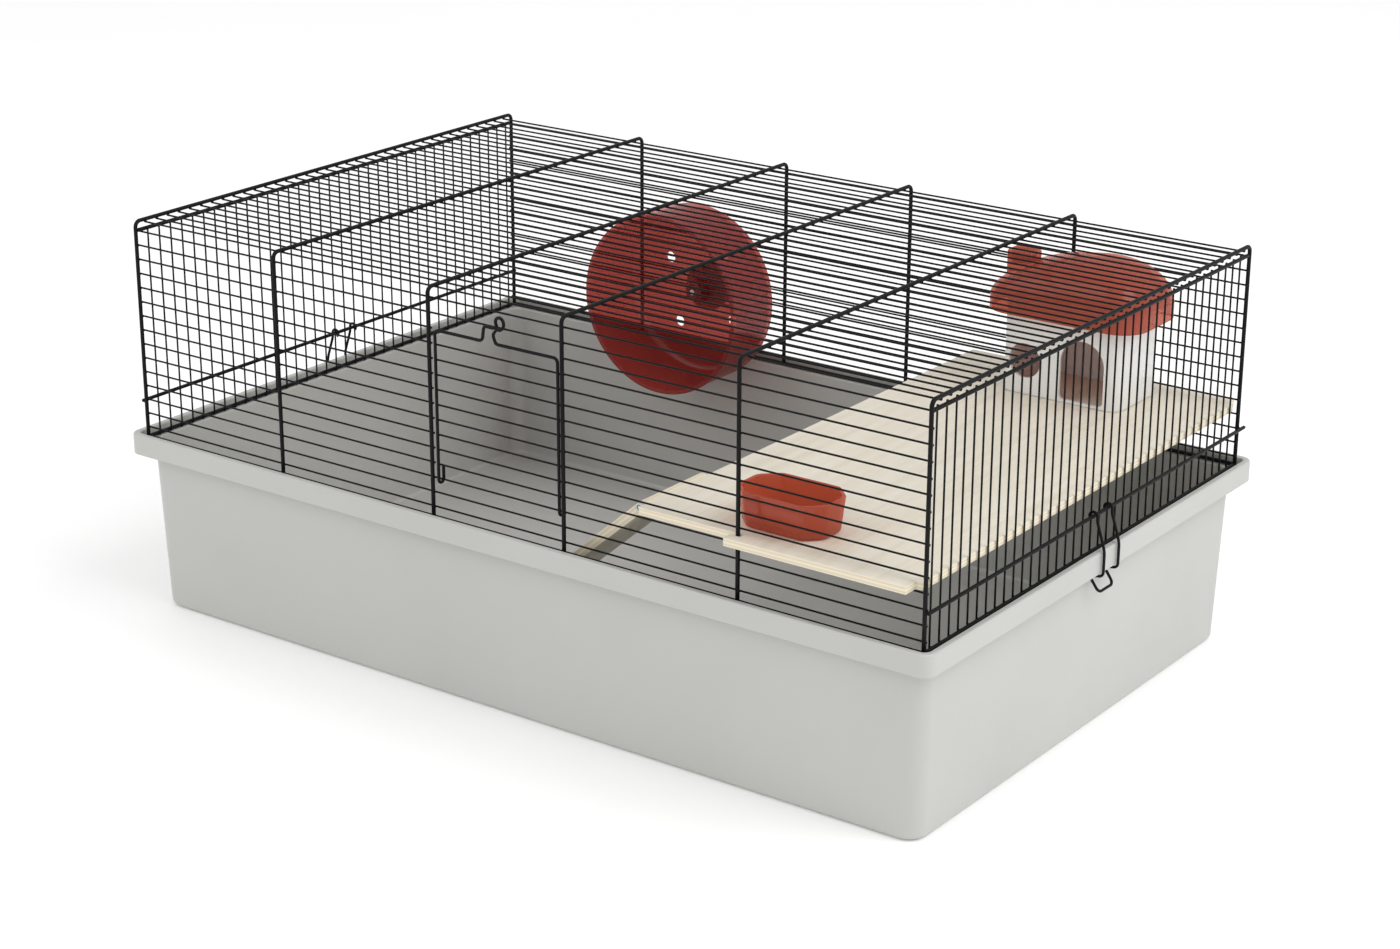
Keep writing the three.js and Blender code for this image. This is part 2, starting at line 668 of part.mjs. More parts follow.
// ---- bowl -----------------------------------------------------------------
function bowlRing(inset, z) {
  const [mx, my] = BOWL.mid;
  const a = BOWL.half[0] - inset;
  const b = BOWL.half[1] - inset;
  const c = 11 - inset * 0.5;
  return [
    [mx + a, my + b - c, z], [mx + a - c, my + b, z], [mx - a + c, my + b, z], [mx - a, my + b - c, z],
    [mx - a, my - b + c, z], [mx - a + c, my - b, z], [mx + a - c, my - b, z], [mx + a, my - b + c, z],
  ];
}
piece(
  "food_bowl",
  loft([
    bowlRing(3.6, shelfTop),
    bowlRing(2.2, shelfTop + 1.6),
    bowlRing(0, shelfTop + BOWL.height - 1),
    bowlRing(0.4, shelfTop + BOWL.height),
    bowlRing(1.7, shelfTop + BOWL.height),
    bowlRing(BOWL.wall + 2, shelfTop + 4.5),
    bowlRing(BOWL.wall + 4, shelfTop + 2.4),
  ]),
  RED,
);

export default group;
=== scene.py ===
import math

import bpy
import numpy as np
from mathutils import Matrix


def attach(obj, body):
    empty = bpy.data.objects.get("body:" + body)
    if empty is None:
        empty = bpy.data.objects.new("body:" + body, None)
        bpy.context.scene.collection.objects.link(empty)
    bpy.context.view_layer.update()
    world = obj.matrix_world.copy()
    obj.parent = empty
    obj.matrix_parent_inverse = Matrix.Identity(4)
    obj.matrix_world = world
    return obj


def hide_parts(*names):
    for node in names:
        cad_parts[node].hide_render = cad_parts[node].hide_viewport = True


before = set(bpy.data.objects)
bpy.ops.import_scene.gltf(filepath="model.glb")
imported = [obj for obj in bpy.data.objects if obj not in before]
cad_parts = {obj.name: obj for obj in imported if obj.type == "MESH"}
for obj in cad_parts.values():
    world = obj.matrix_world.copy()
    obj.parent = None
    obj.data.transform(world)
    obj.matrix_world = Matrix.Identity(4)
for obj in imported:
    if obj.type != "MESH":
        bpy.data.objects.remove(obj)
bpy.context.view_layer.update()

# ---- the cage's own sizes, in millimetres ----------------------------------
MM = 0.001
RIM_Z = 122.0
RIM_HALF = (308.0, 198.0)
FOOT_Z = 117.4  # underside of the wire top, in the tray's ledge
THICK = 1.3  # radius of the hoop and rail wire
THIN = 0.6  # radius of the bars
DOOR_WIRE = 1.0  # radius of the door's frame
CLIP_WIRE = 0.9
WELD = 0.15  # how far one wire sinks into another
HOOP_X = np.array([-298.7, -177.6, -52.1, 49.3, 174.6, 298.7])
HOOP_Y = 188.7
HOOP_TOP = 264.0
HOOP_BEND = 4.0
ROW_Z = RIM_Z + 2.8 + 9.49 * np.arange(15)
ROW_Y = 186.85
BARS_Y = np.arange(-180.0, 181.0, 10.0)
TOP_BAR_Z = 262.15
END_BAR_X = 296.85
REACH = 299.6
PIVOT_X, PIVOT_Z, PIVOT_WIRE = 301.25, RIM_Z + 21, 1.2  # the bars that the clips turn round
SKEW = (0.42, 0.72, 0.55)  # a direction that no wire runs along


# ---- curves and surfaces ---------------------------------------------------
def unit(v):
    """Each vector divided by its own length."""
    return v / np.maximum(np.linalg.norm(v, axis=-1, keepdims=True), 1e-12)


def eased(corners, cut, steps=6, loop=False):
    """A polyline with each corner replaced by a circular arc that starts and ends `cut` away from
    it: the rational quadratic curve whose middle weight is the cosine of half the turn."""
    p = np.asarray(corners, float)
    if loop:
        before, here, after = np.roll(p, 1, -2), p, np.roll(p, -1, -2)
    else:
        before, here, after = p[..., :-2, :], p[..., 1:-1, :], p[..., 2:, :]
    cut = np.broadcast_to(np.asarray(cut, float), here.shape[-2:-1])[:, None]
    to_before, to_after = before - here, after - here
    reach = 0.49 * np.minimum(
        np.linalg.norm(to_before, axis=-1, keepdims=True),
        np.linalg.norm(to_after, axis=-1, keepdims=True),
    )
    cut = np.minimum(cut, reach)
    a, b = here + unit(to_before) * cut, here + unit(to_after) * cut
    turn = np.sum(-unit(to_before) * unit(to_after), -1, keepdims=True)
    weight = np.sqrt(np.clip((1 + turn) / 2, 1e-4, 1))
    t = np.linspace(0, 1, steps)[:, None]
    a, b, here, weight = (x[..., None, :] for x in (a, b, here, weight))
    top = (1 - t) ** 2 * a + 2 * t * (1 - t) * weight * here + t**2 * b
    curve = top / ((1 - t) ** 2 + 2 * t * (1 - t) * weight + t**2)
    curve = curve.reshape(*curve.shape[:-3], -1, p.shape[-1])
    return curve if loop else np.concatenate([p[..., :1, :], curve, p[..., -1:, :]], -2)


def circle(x, z, radius, start, end, steps):
    """Points (x, z) on a circle from one angle to another, in degrees."""
    a = np.radians(np.linspace(start, end, steps))
    return np.stack([x + radius * np.cos(a), z + radius * np.sin(a)], -1)


def along(path):
    """Unit direction of a path at each point: the mean of the steps before and after it."""
    step = unit(np.diff(path, axis=-2))
    first, last = step[..., :1, :], step[..., -1:, :]
    return unit(np.concatenate([first, step], -2) + np.concatenate([step, last], -2))


def carried(path, section, across):
    """A flat section (points, 2) carried along each path, square to it. Its first axis is `across`
    with the part along the path taken off, and its second axis is square to both."""
    t = along(path)
    side = unit(np.asarray(across, float) - t * (t @ np.asarray(across, float))[..., None])
    up = np.cross(t, side)
    s = np.asarray(section, float)
    return (
        path[..., :, None, :]
        + s[..., 0, None] * side[..., :, None, :]
        + s[..., 1, None] * up[..., :, None, :]
    )


def wire(path, radius, sides=10, across=SKEW):
    """A round wire with softened ends: a circle of the wire's radius carried along the path, and
    smaller at the two points added just inside each end."""
    path = np.asarray(path, float)
    path = path[None] if path.ndim == 2 else path
    t = along(path)
    head = path[:, :1] + t[:, :1] * radius * np.array([0, 0.3, 0.8])[:, None]
    tail = path[:, -1:] - t[:, -1:] * radius * np.array([0.8, 0.3, 0])[:, None]
    path = np.concatenate([head, path[:, 1:-1], tail], 1)
    swell = np.ones(path.shape[1])
    swell[[0, 1, -2, -1]] = [0.5, 0.88, 0.88, 0.5]
    a = 2 * np.pi * np.arange(sides) / sides
    ring = radius * np.stack([np.cos(a), np.sin(a)], -1)
    t = along(path)
    side = unit(np.asarray(across, float) - t * (t @ np.asarray(across, float))[..., None])
    up = np.cross(t, side)
    round_it = ring[:, 0, None] * side[..., None, :] + ring[:, 1, None] * up[..., None, :]
    return path[..., None, :] + swell[:, None, None] * round_it


def bars(starts, ends, radius, sides=10):
    """Straight round wires between matching start and end points."""
    a, b = np.broadcast_arrays(np.asarray(starts, float), np.asarray(ends, float))
    t = np.linspace(0, 1, 3)[:, None]
    return wire(a[:, None] * (1 - t) + b[:, None] * t, radius, sides)


def beads(centres, size, across=8, rows=5):
    """Small weld beads: an ellipsoid round each centre, from its two angles."""
    centres = np.asarray(centres, float).reshape(-1, 1, 1, 3)
    lift = np.radians(np.linspace(-80, 80, rows))[:, None]
    turn = 2 * np.pi * np.arange(across) / across
    ball = np.stack(
        [np.cos(lift) * np.cos(turn), np.cos(lift) * np.sin(turn), np.sin(lift) + 0 * turn], -1
    )
    return centres + ball * np.asarray(size, float)


def rounded_ring(half_x, half_y, radius, z, middle=(0.0, 0.0), steps=14):
    """Rounded rectangles, one a row: four quarter circles joined by straight lines."""
    hx, hy, r, z = np.broadcast_arrays(
        *(np.asarray(v, float).reshape(-1, 1, 1) for v in (half_x, half_y, radius, z))
    )
    sign = np.array([[1, 1], [-1, 1], [-1, -1], [1, -1]], float)
    a = np.radians(np.linspace(0, 90, steps) + 90 * np.arange(4)[:, None])
    x = middle[0] + sign[:, :1] * (hx - r) + r * np.cos(a)
    y = middle[1] + sign[:, 1:] * (hy - r) + r * np.sin(a)
    rows = np.stack([x, y, z + 0 * x], -1)
    return rows.reshape(rows.shape[0], -1, 3)


def turned(profile, centre, sides=96):
    """A turned shape: a profile of (radius, place along Y) carried round an axle along Y."""
    p = np.asarray(profile, float)[:, None, :]
    a = 2 * np.pi * np.arange(sides) / sides
    return np.stack(
        [
            centre[0] + p[..., 0] * np.cos(a),
            p[..., 1] + 0 * a,
            centre[1] + p[..., 0] * np.sin(a),
        ],
        -1,
    )


def edge_rows(outline, low, high, soften, steps=4):
    """Rows of a board: its outline pulled in at the top and bottom by a quarter circle."""
    a = np.radians(np.linspace(90, 0, steps))
    inset = soften * (1 - np.cos(a))
    rise = soften * (1 - np.sin(a))
    inset = np.concatenate([inset, inset[::-1]])
    level = np.concatenate([low + rise, (high - rise)[::-1]])
    p = np.asarray(outline, float)
    before, after = unit(p - np.roll(p, 1, 0)), unit(np.roll(p, -1, 0) - p)
    left = lambda v: np.stack([-v[:, 1], v[:, 0]], -1)
    mitre = left(before) + left(after)
    mitre /= np.maximum(np.sum(mitre * left(before), -1, keepdims=True), 0.3)
    flat = p + inset[:, None, None] * mitre
    return np.concatenate([flat, level[:, None, None] + 0 * flat[..., :1]], -1)


class Shape:
    """Closed surfaces gathered into one mesh."""

    def __init__(self):
        self.points, self.faces, self.count = [], [], 0

    def add(self, grid, loop_rows=False):
        """A grid of points (copies, rows, columns, 3) as quads, its columns closed on themselves.
        Its first and last rows are capped, or joined where the rows close on themselves too.
        A skin whose signed volume is negative is turned to face outward."""
        grid = np.asarray(grid, float)
        grid = grid[None] if grid.ndim == 3 else grid
        copies, rows, columns, _ = grid.shape
        index = np.arange(copies * rows * columns).reshape(copies, rows, columns)
        if loop_rows:
            low, high = index, np.roll(index, -1, 1)
        else:
            low, high = index[:, :-1], index[:, 1:]
        quads = np.stack([low, np.roll(low, -1, 2), np.roll(high, -1, 2), high], -1)
        blocks = [quads.reshape(-1, 4)]
        if not loop_rows:
            blocks += [index[:, 0, ::-1], index[:, -1]]
        flat = grid.reshape(-1, 3)
        middle = flat.mean(0)
        volume = 0.0
        for block in blocks:
            corners = flat[block] - middle
            volume += np.sum(corners[:, :1] * np.cross(corners[:, 1:-1], corners[:, 2:]))
        if volume < 0:
            blocks = [block[:, ::-1] for block in blocks]
        self.points.append(flat)
        self.faces += [block + self.count for block in blocks]
        self.count += len(flat)
        return self

    def mesh(self, name, sharp=38):
        """The gathered surfaces as a smooth mesh in metres, with creases kept sharp."""
        mesh = bpy.data.meshes.new(name)
        points = np.concatenate(self.points) * MM
        mesh.from_pydata(points.tolist(), [], [f for block in self.faces for f in block.tolist()])
        mesh.shade_smooth()
        mesh.set_sharp_from_angle(angle=math.radians(sharp))
        return mesh


def loose(name, shape, sharp=38):
    """An object that isn't part of the cage yet."""
    obj = bpy.data.objects.new(name, shape.mesh(name, sharp))
    bpy.context.scene.collection.objects.link(obj)
    return obj


def carved(obj, tools, how="DIFFERENCE", sharp=38):
    """obj with the tools taken away or joined on, as one mesh."""
    for tool in tools:
        change = obj.modifiers.new("change", "BOOLEAN")
        change.operation, change.object, change.solver = how, tool, "EXACT"
    bpy.context.view_layer.update()
    seen = obj.evaluated_get(bpy.context.evaluated_depsgraph_get())
    mesh = bpy.data.meshes.new_from_object(seen)
    obj.modifiers.clear()
    obj.data = mesh
    for tool in tools:
        bpy.data.objects.remove(tool)
    mesh.shade_smooth()
    mesh.set_sharp_from_angle(angle=math.radians(sharp))
    return obj


def fit(obj, material, body, slot, *nodes):
    """Gives a finished piece its material, its body and the nodes that it stands for."""
    obj.data.materials.clear()
    obj.data.materials.append(material)
    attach(obj, body)
    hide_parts(*nodes)
    return obj


def piece(name, shape, material, body, slot, *nodes, sharp=38):
    return fit(loose(name, shape, sharp), material, body, slot, *nodes)


# ---- materials -------------------------------------------------------------
class Finish:
    """A material built from nodes; `add` makes a node and links or sets its inputs."""

    def __init__(self, name):
        self.material = bpy.data.materials.new(name)
        self.material.use_nodes = True
        self.tree = self.material.node_tree
        self.tree.nodes.clear()
        self.out = self.tree.nodes.new("ShaderNodeOutputMaterial")
        self.place = self.tree.nodes.new("ShaderNodeTexCoord").outputs["Object"]

    def add(self, kind, settings=None, **inputs):
        node = self.tree.nodes.new("ShaderNode" + kind)
        for key, value in (settings or {}).items():
            setattr(node, key, value)
        for key, value in inputs.items():
            socket = node.inputs[int(key[1:])] if key[0] == "n" and key[1:].isdigit() else None
            socket = socket or node.inputs[key.replace("_", " ")]
            if isinstance(value, bpy.types.NodeSocket):
                self.tree.links.new(value, socket)
            else:
                socket.default_value = value
        return node

    def stretched(self, scale, source=None):
        """The piece's coordinates multiplied by a scale along each axis."""
        return self.add(
            "Mapping", Vector=source or self.place, Scale=scale
        ).outputs["Vector"]

    def noise(self, scale, detail=3.0, roughness=0.55, where=None):
        return self.add(
            "TexNoise",
            Vector=where or self.place,
            Scale=scale,
            Detail=detail,
            Roughness=roughness,
        ).outputs["Fac"]

    def between(self, fac, low, high, from_low=0.0, from_high=1.0):
        """A number moved from one range to another."""
        return self.add(
            "MapRange",
            Value=fac,
            n1=from_low,
            n2=from_high,
            n3=low,
            n4=high,
        ).outputs["Result"]

    def ramp(self, fac, *stops):
        """Colours at places along a ramp."""
        node = self.add("ValToRGB", Fac=fac)
        marks = node.color_ramp.elements
        while len(marks) < len(stops):
            marks.new(0.5)
        for mark, (place, colour) in zip(marks, stops):
            mark.position = place
            mark.color = (*colour, 1)
        return node.outputs["Color"]

    def bump(self, height, strength, distance, base=None):
        extra = {"Normal": base} if base else {}
        return self.add(
            "Bump", Height=height, Strength=strength, Distance=distance, **extra
        ).outputs["Normal"]

    def surface(self, shader):
        self.tree.links.new(shader, self.out.inputs["Surface"])
        return self.material


def coated_wire():
    """Black powder-coated steel wire: nearly black, satin, with a fine uneven skin."""
    f = Finish("coated_wire")
    skin = f.noise(900.0, 2.0)
    patches = f.noise(35.0, 3.0)
    colour = f.ramp(patches, (0.3, (0.0035, 0.0035, 0.004)), (0.75, (0.0075, 0.0075, 0.008)))
    rough = f.between(patches, 0.42, 0.56)
    normal = f.bump(skin, 0.25, 0.0002)
    body = f.add(
        "BsdfPrincipled", Base_Color=colour, Roughness=rough, Normal=normal, IOR=1.5
    )
    body.inputs["Specular IOR Level"].default_value = 0.14
    return f.surface(body.outputs["BSDF"])


def moulded(name, low, high, rough=0.42, grain=1400.0, strength=0.12):
    """Opaque moulded plastic: a soft drift of tone, a fine grain and shallow flow marks."""
    f = Finish(name)
    drift = f.noise(6.0, 3.0)
    colour = f.ramp(drift, (0.3, low), (0.7, high))
    fine = f.noise(grain, 2.0, 0.5)
    flow = f.noise(22.0, 2.0, 0.4)
    gloss = f.between(f.noise(60.0, 3.0), rough - 0.05, rough + 0.06)
    normal = f.bump(flow, 0.10, 0.002, f.bump(fine, strength, 0.0002))
    body = f.add("BsdfPrincipled", Base_Color=colour, Roughness=gloss, Normal=normal, IOR=1.49)
    return f.surface(body.outputs["BSDF"])


def clear_red(name, skin, glow, clearness, rough=0.16):
    """Tinted see-through plastic: a glossy red skin mixed with a tinted view through it."""
    f = Finish(name)
    drift = f.noise(14.0, 2.0)
    colour = f.ramp(drift, (0.25, skin), (0.8, tuple(c * 1.12 for c in skin)))
    flow = f.noise(45.0, 2.0, 0.4)
    normal = f.bump(flow, 0.08, 0.0015)
    gloss = f.between(f.noise(300.0, 2.0), rough - 0.03, rough + 0.05)
    body = f.add(
        "BsdfPrincipled", Base_Color=colour, Roughness=gloss, Normal=normal, IOR=1.5
    )
    through = f.add("BsdfTransparent", Color=(*glow, 1))
    mix = f.add("MixShader", n0=clearness, n1=body.outputs["BSDF"], n2=through.outputs["BSDF"])
    return f.surface(mix.outputs["Shader"])


def plywood():
    """Pale plywood. The board attribute holds metres along the grain, across it and through the
    thickness: veneer figure on the faces, and a stack of plies on the edges."""
    f = Finish("plywood")
    board = f.add("Attribute", {"attribute_name": "board"}).outputs["Vector"]
    long_grain = f.noise(1.0, 5.0, 0.6, f.stretched((9.0, 150.0, 60.0), board))
    pores = f.noise(1.0, 2.0, 0.5, f.stretched((60.0, 1500.0, 400.0), board))
    patch = f.noise(1.0, 3.0, 0.5, f.stretched((4.0, 14.0, 14.0), board))
    face = f.ramp(
        long_grain,
        (0.25, (0.71, 0.645, 0.52)),
        (0.5, (0.775, 0.72, 0.605)),
        (0.78, (0.82, 0.775, 0.675)),
    )
    tone = f.between(patch, 0.93, 1.05)
    face = f.add("VectorMath", {"operation": "SCALE"}, n0=face, Scale=tone).outputs["Vector"]
    depth = f.add("SeparateXYZ", Vector=board).outputs["Z"]
    layer = f.add("Math", {"operation": "MULTIPLY"}, n0=depth, n1=1 / 0.0012).outputs[0]
    layer = f.add("Math", {"operation": "PINGPONG"}, n0=layer, n1=1.0).outputs[0]
    plies = f.ramp(layer, (0.40, (0.80, 0.725, 0.57)), (0.60, (0.70, 0.61, 0.45)))
    far = f.add("Math", {"operation": "ABSOLUTE"}, n0=depth).outputs[0]
    is_edge = f.add("Math", {"operation": "LESS_THAN"}, n0=far, n1=0.00215).outputs[0]
    colour = f.add(
        "Mix", {"data_type": "RGBA"}, n0=is_edge, n6=face, n7=plies
    ).outputs[2]
    normal = f.bump(long_grain, 0.12, 0.0006, f.bump(pores, 0.12, 0.0003))
    rough = f.between(pores, 0.52, 0.68)
    body = f.add("BsdfPrincipled", Base_Color=colour, Roughness=rough, Normal=normal)
    return f.surface(body.outputs["BSDF"])


def zinc():
    """Bright zinc-plated steel with fine drawn lines."""
    f = Finish("zinc_steel")
    lines = f.noise(1.0, 2.0, 0.5, f.stretched((3000.0, 120.0, 3000.0)))
    colour = f.ramp(lines, (0.3, (0.52, 0.52, 0.53)), (0.7, (0.66, 0.66, 0.66)))
    normal = f.bump(lines, 0.15, 0.0002)
    body = f.add("BsdfPrincipled", Base_Color=colour, Roughness=0.32, Normal=normal)
    body.inputs["Metallic"].default_value = 1.0
    return f.surface(body.outputs["BSDF"])


WIRE = coated_wire()
TRAY = moulded("grey_tray", (0.475, 0.475, 0.452), (0.51, 0.51, 0.486))
WHITE = moulded("white_plastic", (0.80, 0.80, 0.79), (0.84, 0.84, 0.83), 0.28, 1800.0, 0.05)
WHEEL_RED = clear_red("wheel_red", (0.28, 0.042, 0.036), (0.86, 0.36, 0.32), 0.50)
ROOF_RED = clear_red("roof_red", (0.40, 0.094, 0.056), (0.94, 0.44, 0.33), 0.44)
BOWL_RED = clear_red("bowl_red", (0.45, 0.098, 0.052), (0.94, 0.42, 0.30), 0.42)
PLY = plywood()
STEEL = zinc()


# ---- tray ------------------------------------------------------------------
def tray():
    """The wall's profile, as (inset from the rim, height, corner radius), eased at its corners
    and carried round a rounded rectangle."""
    profile = [
        (90, 0, 6), (12.3, 0, 11.6), (8.85, 112.6, 12), (2.6, 113.4, 5.4), (2.3, 108, 5.7),
        (0, 108, 8), (0, 122, 8), (4.6, 122, 4), (5, 117, 3.6), (11.3, 117, 10),
        (14.6, 3, 9.6), (90, 3, 6),
    ]
    cuts = [3.2, 1.2, 0.8, 0.6, 0.8, 1.5, 1.4, 1.0, 1.3, 2.6]
    inset, z, radius = eased(profile, cuts, 7).T
    rows = rounded_ring(RIM_HALF[0] - inset, RIM_HALF[1] - inset, radius, z)
    return Shape().add(rows)


piece("tray", tray(), TRAY, "tray", "tray", "tray_base", sharp=30)


# ---- wire top --------------------------------------------------------------
def xyz(x, y, z):
    """Points from three arrays or numbers."""
    return np.stack(np.broadcast_arrays(*(np.asarray(v, float) for v in (x, y, z))), -1)


def hoops():
    """Each hoop is one wire: up the front, over the top and down the back."""
    corners = np.array([(-HOOP_Y, FOOT_Z + 0.2), (-HOOP_Y, HOOP_TOP), (HOOP_Y, HOOP_TOP),
                        (HOOP_Y, FOOT_Z + 0.2)])
    flat = eased(corners, HOOP_BEND, 12)
    return xyz(HOOP_X[:, None], flat[:, 0], flat[:, 1])


def top_wires():
    s = Shape()
    s.add(wire(hoops(), THICK, 12, (1, 0, 0)))
    s.add(bars(xyz(-REACH, BARS_Y, TOP_BAR_Z), xyz(REACH, BARS_Y, TOP_BAR_Z), THIN))
    sides = np.array([-1.0, 1.0])
    s.add(bars(xyz(-REACH, sides * ROW_Y, ROW_Z[14]), xyz(REACH, sides * ROW_Y, ROW_Z[14]), THIN))
    x, y = np.meshgrid(HOOP_X, BARS_Y)
    s.add(beads(xyz(x, y, TOP_BAR_Z + 0.6), (1.35, 0.95, 0.75)))
    x, y = np.meshgrid(HOOP_X, sides * 187.4)
    s.add(beads(xyz(x, y, ROW_Z[14]), (1.35, 0.75, 0.95)))
    return s


def side_wires(side, door):
    """The front or back panel: long bars welded inside the hoops, and a rail along the foot."""
    s = Shape()
    y = side * ROW_Y
    rows = np.arange(14)
    cut = door & (rows > 2) & (rows < 13)
    whole, split = ROW_Z[:14][~cut], ROW_Z[:14][cut]
    s.add(bars(xyz(-REACH, y, whole), xyz(REACH, y, whole), THIN))
    if door:
        s.add(bars(xyz(-REACH, y, split), xyz(HOOP_X[2] + 1.2, y, split), THIN))
        s.add(bars(xyz(HOOP_X[3] - 1.2, y, split), xyz(REACH, y, split), THIN))
    foot = xyz([-300.0, 300.0], side * HOOP_Y, FOOT_Z + THICK)
    s.add(bars(foot[:1], foot[1:], THICK, 12))
    x, z = np.meshgrid(HOOP_X, ROW_Z[:14])
    s.add(beads(xyz(x, side * (ROW_Y + 0.6), z), (1.35, 0.75, 0.95)))
    return s


def end_wires(side):
    """An end panel: upright bars inside a rail at the foot and one below the hoop."""
    s = Shape()
    x = side * HOOP_X[5]
    inner = side * END_BAR_X
    low, high = FOOT_Z + THICK, RIM_Z + 134.7 + THICK
    s.add(bars(xyz(x, -186.8, [low]), xyz(x, 186.8, [low]), THICK, 12))
    s.add(bars(xyz(x, -187.2, [high]), xyz(x, 187.2, [high]), THICK, 12))
    s.add(bars(xyz(inner, BARS_Y, FOOT_Z + 0.4), xyz(inner, BARS_Y, RIM_Z + 137.3), THIN))
    y, z = np.meshgrid(BARS_Y, [low, high])
    s.add(beads(xyz(side * (END_BAR_X + 0.6), y, z), (0.75, 0.95, 1.35)))
    return s


piece("top_wires", top_wires(), WIRE, "wire_top", "wire", "top_grille")
piece("front_wires", side_wires(-1, True), WIRE, "wire_top", "wire", "front_grille")
piece("back_wires", side_wires(1, False), WIRE, "wire_top", "wire", "back_grille")
piece("left_end_wires", end_wires(-1), WIRE, "wire_top", "wire", "left_end_grille")
piece("right_end_wires", end_wires(1), WIRE, "wire_top", "wire", "right_end_grille")
for name, side in (("left_pivot_bar", -1), ("right_pivot_bar", 1)):
    ends = xyz(side * PIVOT_X, [-189.9, 194.0], PIVOT_Z)
    bar = Shape().add(bars(ends[:1], ends[1:], PIVOT_WIRE, 12))
    bar.add(beads(xyz(side * 300.1, [-HOOP_Y, HOOP_Y], PIVOT_Z), (0.8, 1.4, 1.3)))
    piece(name + "_wire", bar, WIRE, "wire_top", "wire", name)


# ---- door ------------------------------------------------------------------
def door():
    """One bent wire makes the frame, the hooks round the hinge wire, the latch and its ring."""
    left, right, y, hinge_z, top = -46.8, 46.5, -189.15, ROW_Z[2], ROW_Z[12]
    behind, under, latch = -184.55, ROW_Z[2] - 2.3, ROW_Z[13]
    ring_x, ring_z = circle(4.6, RIM_Z + 130.2, 3.6, 215, -110, 22).T
    ring = xyz(ring_x, y - 0.5 - 2.2 * np.linspace(0, 1, 22), ring_z)
    first = eased(
        [(left, behind, hinge_z + 8.4), (left, behind, under), (left, y, under), (left, y, top),
         (-10.0, y, top), (-8.6, y, latch), (-1.0, y - 0.3, latch), tuple(ring[0])],
        [2.3, 2.3, 3, 2.5, 2.0, 1.0],
        8,
    )
    last = eased(
        [tuple(ring[-1]), (0.1, y - 2.3, latch - 3.2), (0.5, y - 0.3, top), (right, y, top),
         (right, y, under), (right, behind, under), (right, behind, hinge_z + 8.4)],
        [1.6, 1.8, 3, 2.3, 2.3],
        8,
    )
    s = Shape().add(wire(np.concatenate([first, ring[1:-1], last]), DOOR_WIRE, 12))
    rows = ROW_Z[3:12]
    back = y + DOOR_WIRE + THIN - WELD
    s.add(bars(xyz(left - 0.5, back, rows), xyz(right + 0.4, back, rows), THIN))
    x, z = np.meshgrid([left, right], rows)
    s.add(beads(xyz(x, y + 0.85, z), (1.15, 0.7, 0.9)))
    return s


piece("door_wires", door(), WIRE, "door", "wire", "front_door")


# ---- clips -----------------------------------------------------------------
def clip(side):
    """One bent wire: an eye, a leg and a hook, the finger loop, and the same again."""
    low, high = -5.0, 13.0
    eye = circle(PIVOT_X, PIVOT_Z, 2.65, 235, 0, 18)
    leg = eased(
        [tuple(eye[-1]), (PIVOT_X + 2.75, PIVOT_Z - 3.4), (308.9, RIM_Z + 3), (309.6, RIM_Z - 0.5),
         (309.6, RIM_Z - 15.4), (302.6, RIM_Z - 16.4), (301.2, RIM_Z - 18), (303.2, RIM_Z - 20.6)],
        [1.5, 3, 2, 2.6, 1.4, 1.4],
        6,
    )
    one = np.concatenate([eye[:-1], leg])
    first = xyz(one[:, 0], low, one[:, 1])
    second = xyz(one[::-1, 0], high, one[::-1, 1])
    turn = eased(
        [tuple(first[-1]), (307.2, low, RIM_Z - 26.2), (307.2, high, RIM_Z - 26.2),
         tuple(second[0])],
        4.0,
        7,
    )
    path = np.concatenate([first, turn[1:-1], second])
    path[:, 0] *= side
    return Shape().add(wire(path, CLIP_WIRE, 12))


piece("left_clip_wire", clip(-1), WIRE, "left_clip", "wire", "clip_left")
piece("right_clip_wire", clip(1), WIRE, "right_clip", "wire", "clip_right")


# ---- shelf and ramp --------------------------------------------------------
def boarded(obj, coordinates):
    """Stores each point's place in its board, in metres: along the grain, across, through."""
    store = obj.data.attributes.new("board", "FLOAT_VECTOR", "POINT")
    store.data.foreach_set("vector", (coordinates * MM).astype(np.float32).ravel())
    return obj


def points_of(obj):
    co = np.zeros(len(obj.data.vertices) * 3, np.float32)
    obj.data.vertices.foreach_get("co", co)
    return co.reshape(-1, 3) / MM


def shelf():
    """The board's outline with a tongue at the front and back, with its edges softened."""
    hook, tongue, end = 170.2, 177.2, 291.5
    front = [(103, -187), (tongue, -187), (tongue, -190.7), (hook, -190.7), (hook, -197.5),
             (end, -197.5), (end, -187), (295.8, -187)]
    outline = front + [(x, -y) for x, y in front[::-1]]
    return Shape().add(edge_rows(eased(outline, 0.8, 4, loop=True), 154.3, 159.3, 0.35))


board = loose("shelf", shelf(), 30)
place = points_of(board)
boarded(board, np.stack([place[:, 1], place[:, 0], place[:, 2] - 156.8], -1))
fit(board, PLY, "wire_top", "plywood", "shelf_board")

PIN = np.array([99.2, 156.4])
SLOPE = math.radians(41)
RAMP_Y = (-178.0, -118.0)


def ramp():
    """The plank's side outline, along the slope and through its thickness, run across it."""
    foot = (PIN[1] - 3.3 - 3 * math.cos(SLOPE)) / math.sin(SLOPE)
    lean = 3 / math.tan(SLOPE)
    nose = circle(0, 0, 3.0, 270, 90, 12)
    outline = np.concatenate([nose, [(foot + lean, 3.0), (foot - lean, -3.0)]])
    outline = outline[::-1]
    rows = edge_rows(outline, RAMP_Y[0], RAMP_Y[1], 0.4)
    run, through, y = rows[..., 0], rows[..., 1], rows[..., 2]
    x = PIN[0] - run * math.cos(SLOPE) - through * math.sin(SLOPE)
    z = PIN[1] - run * math.sin(SLOPE) + through * math.cos(SLOPE)
    return Shape().add(np.stack([x, y, z], -1)), np.stack([run, y, through], -1)


